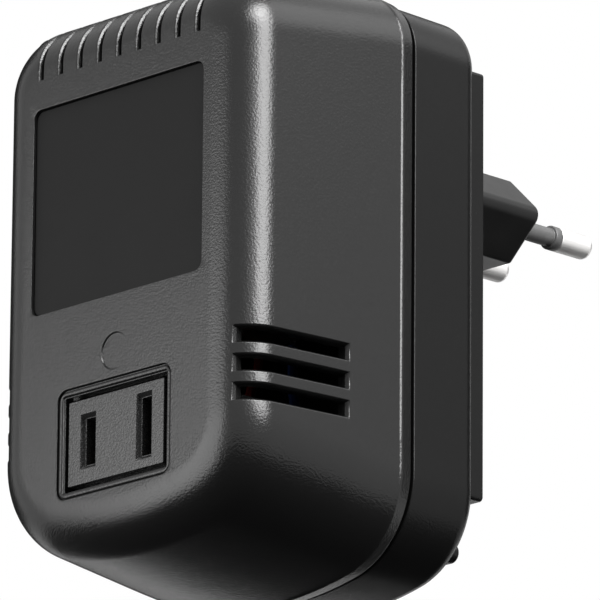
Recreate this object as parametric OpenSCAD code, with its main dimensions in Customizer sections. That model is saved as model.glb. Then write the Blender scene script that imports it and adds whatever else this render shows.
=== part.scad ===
// Plug-in travel voltage converter: a two-part moulded casing with a round-pin plug block behind,
// a flat-blade socket in front and an autotransformer inside.
// The origin is the centre of the plug block's end face, midway between the pins.
// +Y points out along the pins, -Y out of the front face, +Z up.

/* [Casing] */
// Width of the casing at the joint between its halves
case_w = 59.4; // [57:0.2:66]
// Height of the casing at that joint
case_h = 97.2; // [94:0.2:106]
// Depth of the front half, from its face to the joint
front_l = 36.5; // [35:0.5:42]
// Depth of the rear half, from the joint to its back
rear_l = 15.9; // [15:0.1:19]
// Wall thickness of both halves
wall = 2.2; // [1.8:0.1:2.6]
// Radius of the upper corners, seen from the front
top_corner_r = 10.4; // [9.4:0.2:13]
// Radius of the lower corners, seen from the front
low_corner_r = 16; // [15:0.5:19]
// Slope, in degrees, where the crowned underside meets the lower corners
crown_angle = 13; // [6:1:18]
// Rounding of the edges round the front face
edge_r = 7.2; // [5:0.2:8]
// Rounding of the edges round the back
back_edge_r = 3.1; // [2:0.1:4]
// Draft of the two sides of the front half, in degrees
side_draft = 1.8; // [0.5:0.1:3]
// Draft of the top and the underside of the front half, in degrees
end_draft = 7.3; // [3:0.1:7.5]
// Draft of the rear half, in degrees
rear_draft = 0.6; // [0:0.1:2]
// Length of the bevel round the rim of the front half
bevel_l = 2.4; // [1:0.2:3]
// How far that bevel comes in at the rim
bevel_in = 0.55; // [0.3:0.05:0.8]
// How far the rear half stands in from the bevelled rim
rear_step = 0.45; // [0.3:0.05:0.7]
// Width of the shadow gap between the halves
seam_gap = 0.9; // [0.4:0.1:1]
// Length of the locating lip on the rear half
lip_l = 2; // [1.5:0.1:3]
// Thickness of the locating lip
lip_t = 1; // [0.8:0.1:1.2]
// Rounding of the inner edges round the back
inner_edge_r = 1; // [0.5:0.1:1.5]

/* [Vents] */
// Number of narrow slots over the top front edge
top_vent_count = 9; // [5:2:9]
// Distance between those slots
top_vent_pitch = 4.5; // [3.6:0.1:4.6]
// Width of those slots
top_vent_w = 1.3; // [0.9:0.1:1.6]
// Height of their lower ends above the plug's axis
top_vent_low = 13.1; // [12.6:0.1:15]
// Number of vents on each side
side_vent_count = 3; // [1:1:4]
// Distance between the side vents
side_vent_pitch = 4.6; // [4:0.1:5.5]
// Height of a side vent
side_vent_h = 2.2; // [1.6:0.1:2.8]
// Height of the uppermost side vent's middle above the socket's middle
side_vent_rise = 11.8; // [10:0.1:14]
// Distance of the side vents' front ends from the casing's widest side
side_vent_in = 4.1; // [3.6:0.1:5]
// How far all vents run back from the front face
vent_run = 22.5; // [18:0.5:26]

/* [Label] */
// Width of the label recess
label_w = 38.9; // [34:0.1:40]
// Distance from the top vents down to the label recess
label_drop = 5.3; // [4.5:0.1:10]
// Depth of the label recess
label_depth = 0.9; // [0.5:0.1:1]
// Corner radius of the label recess
label_r = 1.6; // [0.8:0.1:3]
// Height of the recess's lower edge above the socket's middle
label_rise = 22.5; // [21:0.1:25]
// Thickness of the label
label_t = 0.3; // [0.2:0.05:0.4]
// Radius of the moulded dimple under the label
dimple_r = 3.05; // [2:0.05:4]
// Depth of the dimple
dimple_depth = 0.3; // [0.2:0.05:0.5]
// Height of the dimple's middle above the socket's middle
dimple_rise = 13.2; // [12.5:0.1:15]

/* [Plug] */
// Distance from the casing's top down to the plug's axis
plug_drop = 26.3; // [25:0.1:29]
// Length of the plug block from the pad to its end face
boss_l = 22.8; // [18:0.1:26]
// Width of the plug block across its rounded sides
boss_w = 34.6; // [32:0.2:36]
// Height of the plug block
boss_h = 14; // [12.5:0.1:14.5]
// Rounding of the plug block's sides
boss_side_r = 2; // [1:0.1:3]
// Width of the flat top of the plug block
boss_flat_w = 22; // [20:0.2:24]
// Distance between the pins
pin_pitch = 19; // [17.5:0.1:19.2]
// Radius of the bare pin tips
pin_r = 2; // [1.9:0.05:2.1]
// Length of the pins beyond the end face
pin_l = 19; // [18.5:0.1:19.5]
// Length of the bare pin tips
pin_tip_l = 7.4; // [7:0.1:9]
// Rounding of the pin tips
pin_nose_r = 1; // [0.5:0.1:1.5]
// Outer radius of the pin sleeves
sleeve_r = 1.55; // [1.5:0.01:1.8]
// Length of the full-size collar at the end of each sleeve
collar_l = 2.4; // [1.5:0.1:3]
// Radius of the pin shanks inside the sleeves
shank_r = 1.15; // [1:0.05:1.25]
// Thickness of the flange inside the casing
flange_t = 2.4; // [2:0.1:3]
// How far the flange spreads beyond the plug block
flange_grow = 2; // [1.5:0.1:2.4]
// Distance of the flange's screws from the plug block's sides
flange_screw_out = 4.2; // [4:0.1:4.6]
// How deep the sleeves sit in the plug block
sleeve_seat = 3; // [2:0.1:6]
// Length of the solder tails on the pins
tail_l = 3.6; // [3:0.1:4]
// Width of those tails
tail_w = 1.9; // [1.5:0.1:2]
// Thickness of those tails
tail_t = 1.2; // [0.8:0.1:1.3]

/* [Back] */
// Width of the raised pad
pad_w = 53.9; // [50:0.1:54.5]
// Height of the pad's lower edge above the casing's low end
pad_rise = 16.5; // [15.5:0.1:20]
// Thickness of the pad
pad_t = 2.5; // [2:0.1:3]
// Height of the pad's upper edge above the plug's axis
pad_top = 16.5; // [15:0.1:16.8]
// Corner radius of the pad
pad_r = 0.7; // [0.4:0.1:2]
// Length of the foot bar under the pad
foot_w = 46.5; // [30:0.5:47]
// Height of the foot bar
foot_h = 3.2; // [2.4:0.1:3.6]
// Distance from the pad's lower edge down to the foot bar
foot_drop = 6.3; // [6.1:0.1:7.3]
// Thickness of the foot bar
foot_t = 1; // [0.6:0.1:1.5]

/* [Socket] */
// Height of the socket's middle above the casing's low end
socket_rise = 22.1; // [21:0.1:23]
// Distance between the blade slots
blade_pitch = 12.7; // [12.6:0.05:12.8]
// Width of both slots
slot_w = 2.2; // [2:0.05:2.4]
// Height of the live slot
live_slot_h = 7.6; // [7:0.1:8]
// Height of the neutral slot
neutral_slot_h = 9.4; // [8.6:0.1:9.6]
// Chamfer round the slots
slot_chamfer = 0.7; // [0.3:0.05:0.8]
// Width of the socket insert's face
nose_w = 21.6; // [20.8:0.1:22]
// Height of the socket insert's face
nose_h = 13.7; // [13:0.1:14]
// Shadow gap round the insert's face
nose_gap = 0.8; // [0.3:0.1:1]
// Width of the frame round that gap
frame_band = 1.3; // [1:0.1:1.5]
// Depth of the frame below the front face
frame_depth = 0.6; // [0.3:0.1:0.9]
// Corner radius of the frame
frame_r = 2; // [1.5:0.1:2.6]
// Depth of the ledge round the insert's face
ledge_depth = 1.3; // [0.8:0.1:1.6]
// Height of the posts that carry the socket insert
socket_post_h = 4; // [3.5:0.1:5]
// Length of the insert's body behind its ears
socket_body_l = 13; // [12.5:0.1:15]
// Thickness of the insert's ears and of its rear cap
ear_t = 2.4; // [2:0.1:3]
// Height of the insert's ears
ear_h = 9; // [8:0.1:10]
// Thickness of the insert's walls
body_wall = 2; // [1.6:0.1:2.4]
// How much taller the contact chambers are than the neutral slot
chamber_room = 1.2; // [0.8:0.1:1.6]
// Distance from the ears' front to the chambers
chamber_in = 0.6; // [0.4:0.1:1.2]

/* [Contacts] */
// Thickness of the contact strip
strip_t = 0.5; // [0.4:0.05:0.6]
// Height of the contact strip
strip_h = 6; // [5:0.1:6.6]
// Gap between a contact's two leaves where they grip a blade
grip_gap = 0.9; // [0.6:0.05:1.2]
// Length of a leaf from its root to the grip
leaf_l = 7; // [6:0.1:7.5]
// Inner width of a contact chamber
chamber_w = 6.4; // [6:0.1:6.8]
// Length of a contact's legs
leg_l = 3.2; // [2.8:0.1:3.6]
// How far a leaf flares out past the grip
flare_out = 1.1; // [0.8:0.1:1.4]
// Length of that flare
flare_l = 1.5; // [1:0.1:2]
// Height of the contacts' solder tails
contact_tail_h = 3; // [2:0.1:3.6]
// How far those tails stand out of the cap
contact_tail_out = 4; // [3:0.1:5]

/* [Transformer] */
// Width of the lamination stack, three centre limbs wide
core_w = 48; // [45:0.5:49]
// Thickness of the lamination stack
stack_t = 20; // [17:0.5:21]
// Distance from the plug's axis down to the core's middle
core_drop = 8; // [7:0.1:9]
// Thickness of the bobbin's tube
bobbin_t = 0.9; // [0.8:0.05:1.1]
// Thickness of the bobbin's flanges
cheek_t = 1.1; // [0.9:0.05:1.4]
// Build of each of the two windings
winding_t = 2.5; // [2:0.1:2.6]
// Thickness of each layer of tape
tape_t = 0.3; // [0.2:0.05:0.35]
// Distance from the coil's rear to the casing's rear wall
coil_room = 9; // [8.6:0.1:10]
// Radius of the posts that clamp the core
core_post_r = 2.4; // [2:0.1:2.8]
// Depth of the terminal rail behind the coil
rail_l = 3.4; // [3:0.1:3.8]
// Thickness of the terminal rail
rail_t = 2; // [1.6:0.1:2.2]
// How far the rail stands above the lower flange
rail_rise = 0.7; // [0.4:0.1:1]
// Distance between the terminals
terminal_pitch = 8; // [7:0.1:8.5]
// Radius of the terminals
terminal_r = 0.5; // [0.4:0.05:0.6]
// Length of the terminals above the rail
terminal_up = 0.5; // [0.3:0.1:1]
// Length of the terminals below the rail
terminal_down = 4.9; // [4:0.1:6]
// Radius of the thermal fuse
fuse_r = 2; // [1.6:0.1:2.1]
// Length of the thermal fuse's body
fuse_l = 11; // [9:0.5:11.5]
// Distance of the fuse's middle from the casing's middle
fuse_side = 5.5; // [5:0.1:6]
// Height of the fuse above the terminals
fuse_rise = 5.2; // [4.6:0.1:6]
// Radius of the fuse's wire ends
fuse_leg_r = 0.5; // [0.3:0.05:0.6]
// Length of the fuse's wire ends
fuse_leg_l = 1.5; // [1:0.1:2]
// Radius of the insulated leads
lead_r = 0.8; // [0.6:0.05:0.9]

/* [Screws] */
// Radius of the casing screws' shanks
screw_r = 1.5; // [1.3:0.05:1.6]
// Radius of the casing screws' heads
head_r = 2.6; // [2.4:0.1:2.8]
// Height of the casing screws' heads
head_h = 1.8; // [1.5:0.1:2.2]
// Length of the casing screws under their heads
screw_l = 20; // [18:0.5:22]
// Radius of the posts that the casing screws go into
post_r = 3; // [2.9:0.1:3.2]
// Distance of the upper posts from the casing's sides
post_side_in = 7.9; // [7.5:0.1:9]
// Distance of the upper posts from the casing's top
post_top_in = 7.8; // [7.4:0.1:8.2]
// Distance of the lower posts from the casing's sides
low_post_side_in = 10.2; // [9.8:0.1:12]
// Radius of the small screws' shanks
small_r = 1.1; // [1:0.05:1.2]
// Radius of the small screws' heads
small_head_r = 2; // [1.8:0.1:2.2]
// Height of the small screws' heads
small_head_h = 1.4; // [1:0.1:1.6]
// Length of a screw's cross recess, in radii of its head
cross_span = 1.5; // [1.2:0.05:1.6]
// Width of a screw's cross recess, in radii of its head
cross_w = 0.3; // [0.2:0.02:0.4]
// Length of the socket's screws under their heads
socket_screw_l = 5.5; // [5:0.1:6]
// Distance of the socket's screws from the insert's body
socket_screw_out = 4; // [3.8:0.1:4.4]
// Wall of the posts round the socket's screws
socket_post_wall = 1.6; // [1.3:0.1:1.8]
// Plastic left round the heads and in front of the plug's screws
screw_wall = 1.2; // [1:0.1:1.4]
// Room beyond a screw's tip in its blind hole
tip_room = 0.5; // [0.3:0.1:0.8]

/* [Clearances] */
// Gap between pieces that locate each other
fit_gap = 0.15; // [0.1:0.05:0.25]
// Gap round a pin, a screw or a winding in its seat
seat_gap = 0.05; // [0.03:0.01:0.08]

/* [Hidden] */
$fn = 48;
eps = 0.01;

// How far a cut runs past the face that it opens
over = 1;

// Planes along the depth
pad_y = -boss_l;
back_y = pad_y - pad_t;
split_y = back_y - rear_l;
face_y = split_y - front_l;
front_in_y = face_y + wall;
back_in_y = back_y - wall;

// Heights
case_top = plug_drop;
case_low = case_top - case_h;
socket_z = case_low + socket_rise;
label_z = socket_z + label_rise;
label_h = top_vent_low - label_drop - label_z;
dimple_z = socket_z + dimple_rise;
side_vent_z = socket_z + side_vent_rise;
pad_low = case_low + pad_rise;
pad_h = pad_top - pad_low;
foot_z = pad_low - foot_drop - foot_h / 2;

// Slopes of the drafted walls
side_slope = tan(side_draft);
end_slope = tan(end_draft);
rear_slope = tan(rear_draft);
rear_in = bevel_in + rear_step;

// Points on each corner, along the crown and round the rolled edges
corner_steps = 9;
crown_steps = 6;
edge_steps = 6;

// Casing screws
post_x_top = case_w / 2 - post_side_in;
post_x_low = case_w / 2 - low_post_side_in;
post_z_top = case_top - post_top_in;
post_z_low = pad_low - foot_drop / 2;
well_floor_y = back_y - pad_t - head_h;
screw_posts = [
    [post_x_top, post_z_top], [-post_x_top, post_z_top],
    [post_x_low, post_z_low], [-post_x_low, post_z_low]
];
screw_tip_y = well_floor_y - screw_l;
pilot_floor_y = screw_tip_y - tip_room;

// Plug block
flange_y = back_in_y - flange_t;
flange_screw_x = boss_w / 2 + flange_screw_out;
flange_ear_r = small_head_r + screw_wall;
flange_screw_l = flange_t + wall + pad_t - tip_room - screw_wall;
sleeve_l = pin_l - pin_tip_l;
sleeve_root_y = -sleeve_seat;

// Socket insert
nose_y = face_y + frame_depth;
ledge_w = nose_gap - fit_gap;
ear_y = front_in_y + socket_post_h;
ear_back_y = ear_y + ear_t;
cap_y = ear_back_y + socket_body_l;
cap_back_y = cap_y + ear_t;
body_w = blade_pitch + chamber_w + 2 * body_wall;
chamber_h = neutral_slot_h + chamber_room;
body_h = chamber_h + 2 * body_wall;
socket_screw_x = body_w / 2 + socket_screw_out;
socket_post_r = small_r + socket_post_wall;
ear_w = 2 * (socket_screw_x + socket_post_r);
chamber_y = ear_y + chamber_in;

// Contacts
leaf_root_r = strip_t / 2;
base_y = cap_y - strip_t;
leg_x = chamber_w / 2 - fit_gap - strip_t;
leaf_axis_x = leg_x + leaf_root_r;
leg_front_y = base_y - leg_l;
leaf_axis_y = leg_front_y - leaf_root_r - seat_gap;
contact_tail_l = ear_t + contact_tail_out;

// Lamination stack, in the proportions of laminations that are stamped without waste
limb_w = core_w / 3;
yoke_h = limb_w / 2;
window_w = limb_w / 2;
window_h = 1.5 * limb_w;
core_low = -core_drop - window_h / 2 - yoke_h;
window_low = core_low + yoke_h;
window_top = window_low + window_h;
build = bobbin_t + 2 * winding_t + 2 * tape_t + 5 * seat_gap + fit_gap;
coil_back_y = back_in_y - coil_room;
core_y = coil_back_y - build - stack_t / 2;
core_post_x = core_w / 2 - yoke_h / 2;
core_post_z = [window_low - yoke_h / 2, window_top + yoke_h / 2];

// Terminal rail and thermal fuse, on the coil's rear
rail_y = coil_back_y + rail_l / 2;
rail_x = limb_w / 2 + build;
rail_top = window_low + seat_gap + cheek_t + rail_rise;
terminal_x = [for (i = [-1.5 : 1.5]) i * terminal_pitch];
terminal_top = rail_top + terminal_up;
terminal_low = rail_top - rail_t - terminal_down;
terminal_l = terminal_top - terminal_low;
fuse_x = -fuse_side;
fuse_y = coil_back_y + fuse_r + seat_gap;
fuse_z = terminal_top + fuse_rise;
tail_y = flange_y - tail_l / 2;

// Outline of the casing seen from the front, at depth y and moved in by inset: a list of [x, z]
function draft_in(y) = max(split_y - y, 0);
function half_w(y, inset) = case_w / 2 - side_slope * draft_in(y) - inset;
function top_z(y, inset) = case_top - end_slope * draft_in(y) - inset;
function low_z(y, inset) = case_low + end_slope * draft_in(y) + inset;
function arc(x, z, r, from, to, steps) =
    [for (i = [0 : steps]) let (a = from + (to - from) * i / steps) [x + r * cos(a), z + r * sin(a)]];
function outline(y, inset) =
    let (
        w = half_w(y, inset),
        rt = top_corner_r - inset,
        rl = low_corner_r - inset,
        low_x = w - rl,
        crown_r = rl + low_x / sin(crown_angle),
        crown_z = low_z(y, inset) + crown_r,
        low_c = crown_z - (crown_r - rl) * cos(crown_angle),
        tangent = 270 - crown_angle,
        crown = arc(0, crown_z, crown_r, tangent, tangent + 2 * crown_angle, crown_steps)
    )
    concat(
        arc(w - rt, top_z(y, inset) - rt, rt, 0, 90, corner_steps),
        arc(rt - w, top_z(y, inset) - rt, rt, 90, 180, corner_steps),
        arc(-low_x, low_c, rl, 180, tangent, corner_steps),
        [for (i = [1 : crown_steps - 1]) crown[i]],
        arc(low_x, low_c, rl, 540 - tangent, 360, corner_steps)
    );

// Closed solid through a list of [y, inset] sections, from front to back
module casing_loft(sections) {
    rings = [for (s = sections) [for (p = outline(s[0], s[1])) [p[0], s[0], p[1]]]];
    count = len(rings[0]);
    last = len(rings) - 1;
    points = [for (ring = rings) each ring];
    sides = [
        for (k = [0 : last - 1]) for (i = [0 : count - 1])
            let (a = k * count + i, b = k * count + (i + 1) % count)
            each [[a, b, a + count], [b, b + count, a + count]]
    ];
    front_cap = [[for (i = [count - 1 : -1 : 0]) i]];
    back_cap = [[for (i = [0 : count - 1]) last * count + i]];
    polyhedron(points, concat(front_cap, sides, back_cap));
}

// Sections of an edge rolled with radius r at plane y; out is -1 for the front edge and 1 for the back
function rolled_edge(y, r, inset, out) =
    [
        for (i = [0 : edge_steps])
            let (a = 90 * (out < 0 ? edge_steps - i : i) / edge_steps)
            [y - out * r * (1 - sin(a)), inset + r * (1 - cos(a))]
    ];

// Flat shape with round corners, centred on the origin
module round_rect(w, h, r) {
    square([w - 2 * r, h], center = true);
    square([w, h - 2 * r], center = true);
    for (x = [-1, 1], z = [-1, 1])
        translate([x * (w / 2 - r), z * (h / 2 - r)]) circle(r);
}

// Stands a flat shape, drawn in x and z, upright between the depths y0 and y1
module plate(y0, y1) {
    translate([0, y1, 0]) rotate([90, 0, 0]) linear_extrude(y1 - y0) children();
}

// Round bar along the depth, from y0 to y1
module bar(x, z, r, y0, y1) {
    translate([x, y0, z]) rotate([-90, 0, 0]) cylinder(r = r, h = y1 - y0);
}

// Box by its two opposite corners
module box(low, high) {
    translate(low) cube(high - low);
}

// Six-sided outline of the plug block with rounded sides, grown by grow all round
module plug_outline(grow) {
    round_x = boss_w / 2 - boss_side_r;
    corner = [boss_flat_w, boss_h] / 2;
    reach = [round_x, 0] - corner;
    slant = atan2(reach[1], reach[0]) + asin(boss_side_r / norm(reach));
    outward = [-sin(slant), cos(slant)];
    top = corner + grow * (outward + [0, 1]) / (1 + outward[1]);
    touch = [round_x, 0] + (boss_side_r + grow) * outward;
    upper = [touch, top, [-top[0], top[1]], [-touch[0], touch[1]]];
    polygon(concat(upper, [for (p = upper) -p]));
    for (x = [-round_x, round_x]) translate([x, 0]) circle(boss_side_r + grow);
}

// Tube swept along a smooth curve through the given points; no lead runs along lead_side
lead_sides = 8;
lead_steps = 4;
lead_side = [0.3, 0.9, 0.3];
function spline(p0, p1, p2, p3, t) =
    0.5 * (2 * p1 + (p2 - p0) * t + (2 * p0 - 5 * p1 + 4 * p2 - p3) * t * t
        + (3 * p1 - p0 - 3 * p2 + p3) * t * t * t);
function smooth(points) =
    let (
        n = len(points),
        before = 2 * points[0] - points[1],
        after = 2 * points[n - 1] - points[n - 2],
        ends = concat([before], points, [after])
    )
    concat(
        [for (i = [1 : n - 1]) for (k = [0 : lead_steps - 1])
            spline(ends[i - 1], ends[i], ends[i + 1], ends[i + 2], k / lead_steps)],
        [points[n - 1]]
    );
function unit(v) = v / norm(v);
function heading(path, i, first, last) =
    i == 0 ? first : i == len(path) - 1 ? last : unit(path[i + 1] - path[i - 1]);
module lead(points, first, last) {
    path = smooth(points);
    count = len(path);
    rings = [
        for (i = [0 : count - 1])
            let (
                t = heading(path, i, first, last),
                u = unit(cross(t, lead_side)),
                v = cross(t, u)
            )
            for (k = [0 : lead_sides - 1])
                let (a = 360 * k / lead_sides)
                path[i] + lead_r * (cos(a) * u + sin(a) * v)
    ];
    sides = [
        for (i = [0 : count - 2]) for (k = [0 : lead_sides - 1])
            let (
                a = i * lead_sides + k,
                b = i * lead_sides + (k + 1) % lead_sides
            )
            each [[a, a + lead_sides, b], [b, a + lead_sides, b + lead_sides]]
    ];
    near_cap = [[for (k = [0 : lead_sides - 1]) k]];
    far_cap = [[for (k = [lead_sides - 1 : -1 : 0]) (count - 1) * lead_sides + k]];
    polyhedron(rings, concat(near_cap, sides, far_cap));
}

// Routes of the leads, relative to the pieces that they join
live_tail = [-pin_pitch / 2, tail_y, -tail_t / 2];
neutral_tail = [pin_pitch / 2, tail_y, -tail_t / 2];
fuse_left = [fuse_x - fuse_l / 2 - fuse_leg_l, fuse_y, fuse_z];
fuse_right = [fuse_x + fuse_l / 2 + fuse_leg_l, fuse_y, fuse_z];
function post_top(i) = [terminal_x[i], rail_y, terminal_top];
function post_low(i) = [terminal_x[i], rail_y, terminal_low];
live_tag = [-blade_pitch / 2, cap_y + contact_tail_l, socket_z];
neutral_tag = [blade_pitch / 2, cap_y + contact_tail_l, socket_z];
live_route = [
    live_tail, live_tail + [0, 0, -2], [-12, tail_y, fuse_z + 7], [-15.5, tail_y - 1, fuse_z + 4],
    fuse_left + [-3.4, 0, 1.6], fuse_left + [-2, 0, 0], fuse_left
];
fuse_route = [
    fuse_right, fuse_right + [1, 0, 0],
    post_top(2) + [0.4, 0, 3.4], post_top(2) + [0, 0, 1.2], post_top(2)
];
neutral_route = [
    neutral_tail, neutral_tail + [0, 0, -2], [11, tail_y - 0.5, fuse_z + 3],
    post_top(3) + [0, 0, 3], post_top(3)
];
tap_route = [
    post_low(0), post_low(0) + [0, 0, -2], [-12, rail_y - 2, terminal_low - 8],
    live_tag + [-2, 8, 6], live_tag + [0, 3, 0.6], live_tag
];
common_route = [
    post_low(1), post_low(1) + [0, 0, -2], [-2, rail_y - 2, terminal_low - 8],
    neutral_tag + [-2, 8, 6], neutral_tag + [0, 3, 0.6], neutral_tag
];

// Front half: drafted shell with rolled edges, vents, recesses, socket opening and inner posts
module front_shell() {
    color("dimgray") difference() {
        union() {
            difference() {
                casing_loft(concat(
                    rolled_edge(face_y, edge_r, 0, -1),
                    [[split_y - bevel_l, 0], [split_y, bevel_in]]
                ));
                casing_loft(concat(
                    rolled_edge(front_in_y, edge_r - wall, wall, -1),
                    [[split_y, wall], [split_y + eps, wall]]
                ));
            }
            intersection() {
                for (p = screw_posts) bar(p[0], p[1], post_r, front_in_y - eps, split_y);
                casing_loft(concat(
                    rolled_edge(face_y + wall / 2, edge_r - wall / 2, wall / 2, -1),
                    [[split_y + eps, wall / 2]]
                ));
            }
            for (x = [-1, 1], z = core_post_z)
                bar(x * core_post_x, z, core_post_r, front_in_y - eps, core_y - stack_t / 2);
            for (x = [-1, 1])
                bar(x * socket_screw_x, socket_z, socket_post_r, front_in_y - eps, ear_y);
        }
        for (p = screw_posts) bar(p[0], p[1], screw_r + seat_gap, pilot_floor_y, split_y + eps);
        for (x = [-1, 1])
            bar(x * socket_screw_x, socket_z, small_r + seat_gap, front_in_y, ear_y + eps);
        top_vents();
        side_vents();
        translate([0, 0, label_z + label_h / 2])
            plate(face_y - over, face_y + label_depth) round_rect(label_w, label_h, label_r);
        bar(0, dimple_z, dimple_r, face_y - over, face_y + dimple_depth);
        socket_opening();
    }
}

// Row of narrow slots that wrap the top front edge
module top_vents() {
    for (i = [0 : top_vent_count - 1]) {
        x = (i - (top_vent_count - 1) / 2) * top_vent_pitch;
        box(
            [x - top_vent_w / 2, face_y - over, top_vent_low],
            [x + top_vent_w / 2, face_y + vent_run, case_top + over]
        );
    }
}

// Vents that wrap the front edge on both sides, beside the socket
module side_vents() {
    for (side = [0, 1], i = [0 : side_vent_count - 1]) {
        z = side_vent_z - i * side_vent_pitch;
        mirror([side, 0, 0]) box(
            [case_w / 2 - side_vent_in, face_y - over, z - side_vent_h / 2],
            [case_w / 2 + over, face_y + vent_run, z + side_vent_h / 2]
        );
    }
}

// Sunk frame and the opening that the socket insert's nose stands in
module socket_opening() {
    opening_w = nose_w + 2 * nose_gap;
    opening_h = nose_h + 2 * nose_gap;
    translate([0, 0, socket_z]) {
        plate(face_y - over, face_y + frame_depth)
            round_rect(opening_w + 2 * frame_band, opening_h + 2 * frame_band, frame_r);
        plate(face_y - over, front_in_y + over) square([opening_w, opening_h], center = true);
    }
}

// Rear half: shallow shell with the pad, foot bar, plug window, screw wells and core posts
module rear_shell() {
    rear_y = split_y + seam_gap;
    color("dimgray") difference() {
        union() {
            difference() {
                casing_loft(concat(
                    [[rear_y, rear_in]],
                    rolled_edge(back_y, back_edge_r, rear_in + rear_slope * rear_l, 1)
                ));
                casing_loft(concat(
                    [[rear_y - eps, rear_in + wall]],
                    rolled_edge(back_in_y, inner_edge_r, rear_in + wall + rear_slope * rear_l, 1)
                ));
            }
            locating_lip(rear_y);
            translate([0, 0, pad_top - pad_h / 2])
                plate(back_y - wall / 2, pad_y) round_rect(pad_w, pad_h, pad_r);
            translate([0, 0, foot_z])
                plate(back_y - wall / 2, back_y + foot_t) round_rect(foot_w, foot_h, foot_h / 2 - eps);
            for (p = screw_posts) bar(p[0], p[1], head_r + screw_wall, split_y, back_y - wall / 2);
            for (x = [-1, 1], z = core_post_z)
                bar(x * core_post_x, z, core_post_r, core_y + stack_t / 2, back_in_y + eps);
        }
        plate(back_in_y - over, pad_y + over) plug_outline(fit_gap);
        for (p = screw_posts) {
            bar(p[0], p[1], screw_r + fit_gap, split_y - eps, back_y);
            bar(p[0], p[1], head_r + fit_gap, well_floor_y, pad_y + over);
        }
        flange_hole_y = flange_y + flange_screw_l + tip_room;
        for (x = [-1, 1]) bar(x * flange_screw_x, 0, small_r + seat_gap, back_in_y - over, flange_hole_y);
    }
}

// Thin rim that enters the front half
module locating_lip(rear_y) {
    outer_in = wall + fit_gap;
    inner_in = outer_in + lip_t;
    tip_y = split_y - lip_l;
    root_y = rear_y + lip_t;
    difference() {
        casing_loft([[tip_y, outer_in], [split_y, outer_in], [root_y, outer_in]]);
        casing_loft([[tip_y - eps, inner_in], [split_y, inner_in], [root_y + eps, inner_in]]);
        for (p = screw_posts) bar(p[0], p[1], post_r + fit_gap, tip_y - over, split_y);
    }
}

// Plain label, seated on the floor of its recess
module rating_label() {
    floor_y = face_y + label_depth;
    color([0.12, 0.12, 0.12]) translate([0, 0, label_z + label_h / 2])
        plate(floor_y - label_t, floor_y)
            round_rect(label_w - 2 * fit_gap, label_h - 2 * fit_gap, label_r - fit_gap);
}

// Plug block: six-sided boss with an inner flange and two pin bores
module plug_block() {
    color([0.06, 0.06, 0.07]) difference() {
        union() {
            plate(back_in_y - eps, 0) plug_outline(0);
            plate(flange_y, back_in_y) {
                plug_outline(flange_grow);
                square([2 * flange_screw_x, 2 * flange_ear_r], center = true);
                for (x = [-1, 1]) translate([x * flange_screw_x, 0]) circle(flange_ear_r);
            }
        }
        for (x = [-1, 1]) {
            bar(x * pin_pitch / 2, 0, shank_r + seat_gap, flange_y - over, over);
            bar(x * pin_pitch / 2, 0, sleeve_r + seat_gap, sleeve_root_y, over);
            bar(x * flange_screw_x, 0, small_r + fit_gap, flange_y - over, back_in_y + over);
        }
    }
}

// Plug pin: thin shank, full-size bare tip with a rounded nose, and a flat solder tail inside
module plug_pin(side) {
    tip_y = sleeve_l;
    color("gainsboro") translate([side * pin_pitch / 2, 0, 0]) {
        rotate([-90, 0, 0]) rotate_extrude() {
            translate([0, flange_y]) square([shank_r, tip_y - flange_y + eps]);
            translate([0, tip_y]) square([pin_r, pin_tip_l - pin_nose_r]);
            translate([0, tip_y]) square([pin_r - pin_nose_r, pin_tip_l]);
            intersection() {
                translate([pin_r - pin_nose_r, pin_l - pin_nose_r]) circle(pin_nose_r);
                translate([0, tip_y]) square([pin_r, pin_tip_l]);
            }
        }
        box([-tail_w / 2, flange_y - tail_l, -tail_t / 2], [tail_w / 2, flange_y + eps, tail_t / 2]);
    }
}
module live_pin() { plug_pin(-1); }
module neutral_pin() { plug_pin(1); }

// Insulating sleeve between the plug block and a pin's bare tip, with a full-size collar at the tip
module pin_sleeve(side) {
    color([0.2, 0.2, 0.21]) difference() {
        union() {
            bar(side * pin_pitch / 2, 0, sleeve_r, sleeve_root_y, sleeve_l);
            bar(side * pin_pitch / 2, 0, pin_r, sleeve_l - collar_l, sleeve_l);
        }
        bar(side * pin_pitch / 2, 0, shank_r + seat_gap, sleeve_root_y - over, sleeve_l + over);
    }
}
module live_pin_sleeve() { pin_sleeve(-1); }
module neutral_pin_sleeve() { pin_sleeve(1); }

// Round-headed screw with a cross recess, pointing along +Y or -Y from its head's seat
module screw(x, z, seat_y, r, l, hr, hh, out) {
    tip_y = seat_y + out * l;
    top_y = seat_y - out * hh;
    root_y = seat_y - out * eps;
    color("silver") difference() {
        union() {
            bar(x, z, r, min(root_y, tip_y), max(root_y, tip_y));
            bar(x, z, hr, min(seat_y, top_y), max(seat_y, top_y));
        }
        for (turn = [0, 90])
            translate([x, top_y, z]) rotate([0, turn, 0])
                cube([hr * cross_span, hh, hr * cross_w], center = true);
    }
}
module case_screws() {
    for (p = screw_posts) screw(p[0], p[1], well_floor_y, screw_r, screw_l, head_r, head_h, -1);
}
module plug_screws() {
    for (x = [-flange_screw_x, flange_screw_x])
        screw(x, 0, flange_y, small_r, flange_screw_l, small_head_r, small_head_h, 1);
}
module socket_screws() {
    for (x = [-socket_screw_x, socket_screw_x])
        screw(x, socket_z, ear_back_y, small_r, socket_screw_l, small_head_r, small_head_h, -1);
}

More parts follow.
